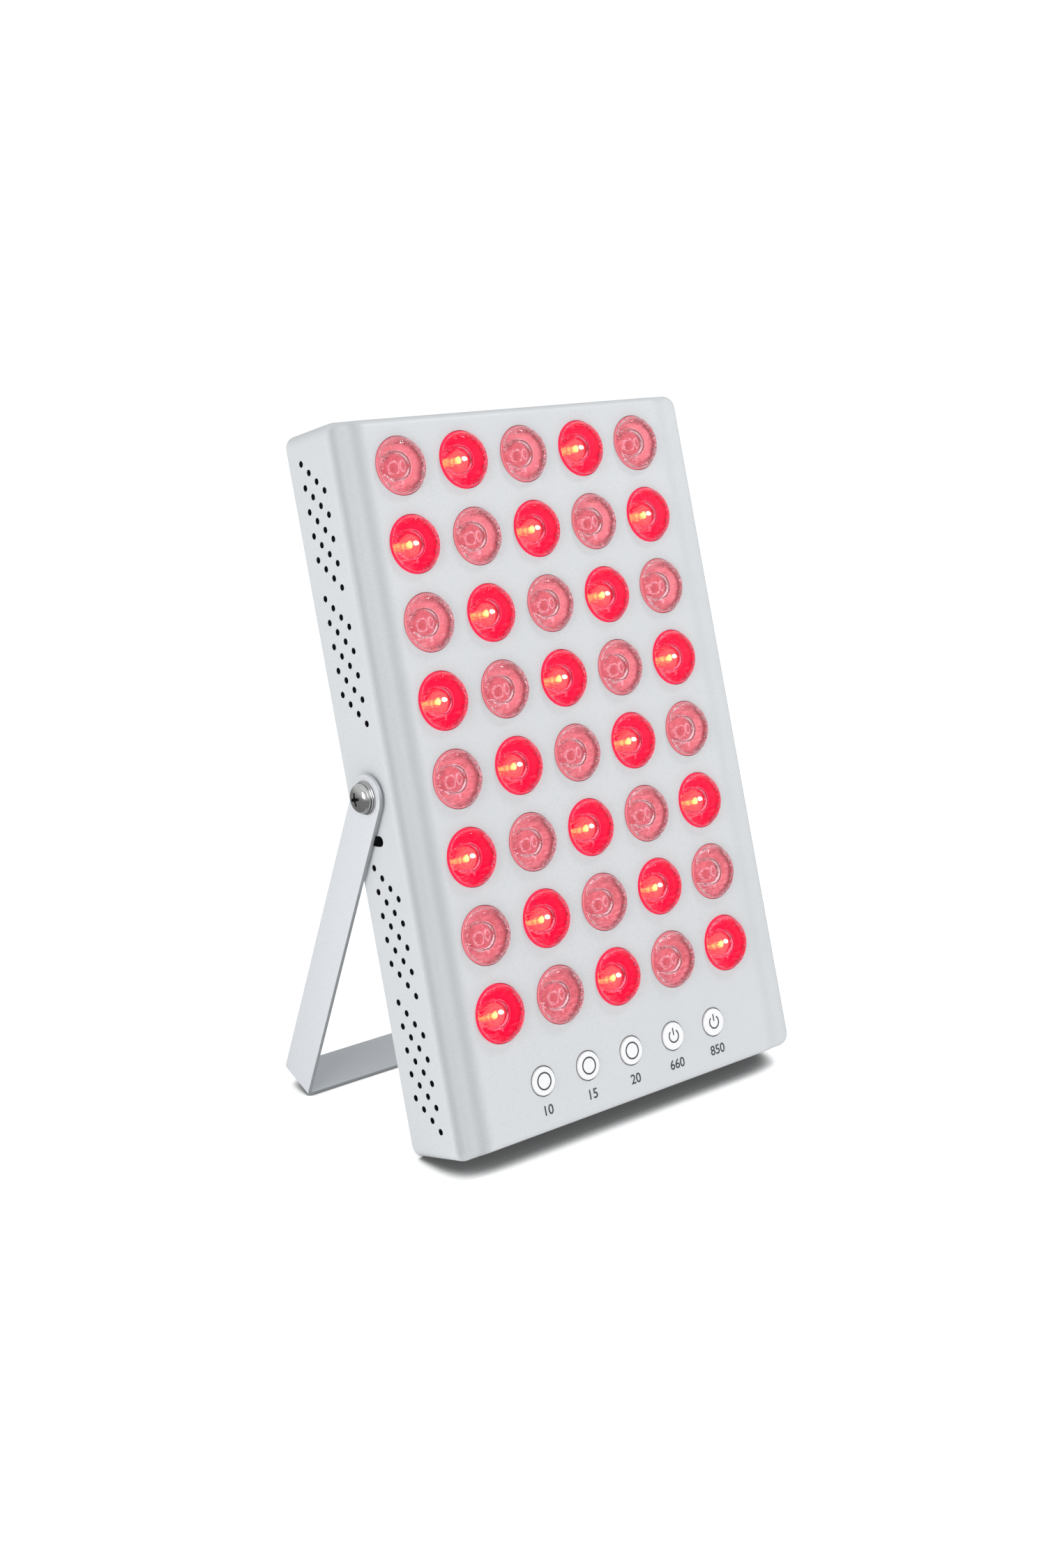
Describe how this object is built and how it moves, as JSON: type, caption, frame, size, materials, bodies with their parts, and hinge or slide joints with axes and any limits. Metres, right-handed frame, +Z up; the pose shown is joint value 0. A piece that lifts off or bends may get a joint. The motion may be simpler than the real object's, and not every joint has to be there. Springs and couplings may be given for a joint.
{
  "type": "red light therapy panel",
  "caption": "Tabletop red light therapy panel: a flat light grey metal case with domed red lenses, round buttons and side vents, leaning back on a folding U-shaped strap stand.",
  "frame": {"origin": "centre of the bounding box at floor level, the panel standing on its stand as pictured", "axes": "+Z up, -Y the way the lenses face (the case leans 18 degrees back from it), +X to the right of the lit face seen from the front"},
  "size_m": [0.2202, 0.1298, 0.3101],
  "materials": {
    "case_paint": "fine satin powder coat, pale cool grey",
    "stand_paint": "fine satin powder coat, pale cool grey",
    "red_lens": "clear-tinted moulded acrylic, polished",
    "button": "smooth semi-gloss white",
    "board": "white solder mask",
    "control_board": "green solder mask on glass fibre board",
    "heat_sink": "as extruded",
    "steel": "bright nickel plated",
    "black_plastic": "fine moulded texture",
    "grey_plastic": "natural nylon",
    "supply_case": "folded sheet, plain",
    "lead": "soft insulation"
  },
  "bodies": {
    "case": {"front_housing": "case_paint", "rear_cover": "case_paint", "lens_row_1": "red_lens", "lens_row_2": "red_lens", "lens_row_3": "red_lens", "lens_row_4": "red_lens", "lens_row_5": "red_lens", "lens_row_6": "red_lens", "lens_row_7": "red_lens", "lens_row_8": "red_lens", "led_board": "board", "control_board": "control_board", "heat_sink": "heat_sink", "board_screw_1": "steel", "board_screw_2": "steel", "board_screw_3": "steel", "board_screw_4": "steel", "cover_screw_1": "steel", "cover_screw_2": "steel", "cover_screw_3": "steel", "cover_screw_4": "steel", "cover_screw_5": "steel", "cover_screw_6": "steel", "fan_screw_1": "steel", "fan_screw_2": "steel", "fan_screw_3": "steel", "fan_screw_4": "steel", "fan_guard": "steel", "control_post_left": "steel", "control_post_right": "steel", "pivot_screw_left": "steel", "pivot_screw_right": "steel", "pivot_washer_left": "steel", "pivot_washer_right": "steel", "pivot_nut_left": "steel", "pivot_nut_right": "steel", "fan_frame": "black_plastic", "mains_inlet": "black_plastic", "switch_body": "black_plastic", "pivot_spacer_left": "grey_plastic", "pivot_spacer_right": "grey_plastic", "power_supply": "supply_case", "switch_lead": "lead", "supply_lead": "lead", "neutral_lead": "lead", "board_lead": "lead", "fan_lead": "lead", "control_lead": "lead"},
    "stand": {"stand_bracket": "stand_paint", "stop_pin_left": "steel", "stop_pin_right": "steel"},
    "fan": {"fan_rotor": "black_plastic"},
    "rocker": {"switch_rocker": "black_plastic"},
    "button_timer_10": {"button_timer_10": "button"},
    "button_timer_15": {"button_timer_15": "button"},
    "button_timer_20": {"button_timer_20": "button"},
    "button_power_660": {"button_power_660": "button"},
    "button_power_850": {"button_power_850": "button"}
  },
  "joints": [
    {"name": "stand_swing", "type": "hinge", "parent": "case", "child": "stand", "pos_m": [0, -0.00062, 0.15568], "axis": [1, 0, 0], "range_deg": [-37.9, 3]},
    {"name": "fan_spin", "type": "hinge", "parent": "case", "child": "fan", "pos_m": [0, 0.02489, 0.1947], "axis": [0, 0.9511, -0.309], "continuous": true},
    {"name": "rocker_tilt", "type": "hinge", "parent": "case", "child": "rocker", "pos_m": [-0.06, -0.01989, 0.04207], "axis": [1, 0, 0], "range_deg": [-18, 0]},
    {"name": "timer_10_press", "type": "slide", "parent": "case", "child": "button_timer_10", "axis": [0, 0.9511, -0.309], "range_m": [0, 0.0006], "stiffness_N_per_m": 2500},
    {"name": "timer_15_press", "type": "slide", "parent": "case", "child": "button_timer_15", "axis": [0, 0.9511, -0.309], "range_m": [0, 0.0006], "stiffness_N_per_m": 2500},
    {"name": "timer_20_press", "type": "slide", "parent": "case", "child": "button_timer_20", "axis": [0, 0.9511, -0.309], "range_m": [0, 0.0006], "stiffness_N_per_m": 2500},
    {"name": "power_660_press", "type": "slide", "parent": "case", "child": "button_power_660", "axis": [0, 0.9511, -0.309], "range_m": [0, 0.0006], "stiffness_N_per_m": 2500},
    {"name": "power_850_press", "type": "slide", "parent": "case", "child": "button_power_850", "axis": [0, 0.9511, -0.309], "range_m": [0, 0.0006], "stiffness_N_per_m": 2500}
  ]
}
